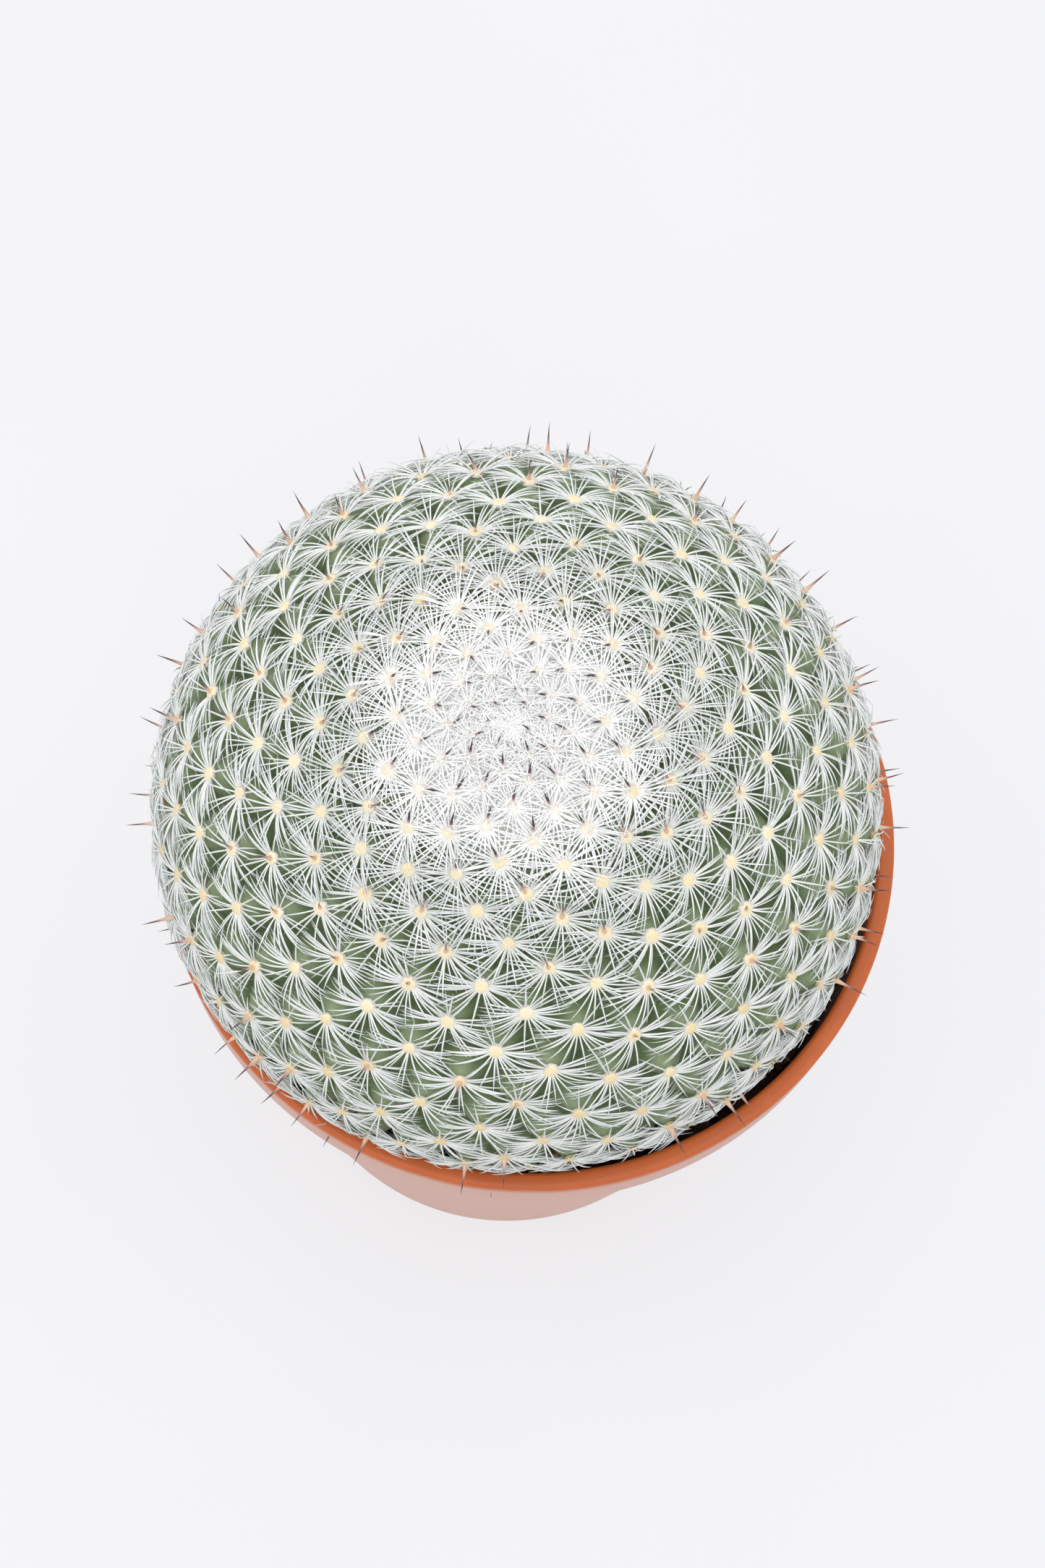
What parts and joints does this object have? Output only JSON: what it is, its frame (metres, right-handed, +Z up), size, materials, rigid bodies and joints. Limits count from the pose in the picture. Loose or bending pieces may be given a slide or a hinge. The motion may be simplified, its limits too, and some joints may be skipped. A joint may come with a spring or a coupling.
{
  "type": "potted cactus",
  "caption": "Round, white-spined cactus ball growing in a tapered terracotta-coloured plastic nursery pot, stem, soil and pot as separate pieces.",
  "frame": {"origin": "middle of the pot's foot, on the surface the pot stands on", "axes": "+Z up along the pot's axis, -Y towards the side that the stem leans to"},
  "size_m": [0.105, 0.105, 0.1449],
  "materials": {
    "terracotta_plastic": "moulded satin plastic in a terracotta colour",
    "potting_mix": "dry, dark, crumbly potting mix",
    "cactus_skin": "waxy dusty-green plant skin under white spines and wool"
  },
  "bodies": {
    "root": {"pot": "terracotta_plastic", "soil": "potting_mix", "cactus_stem": "cactus_skin"}
  },
  "joints": []
}
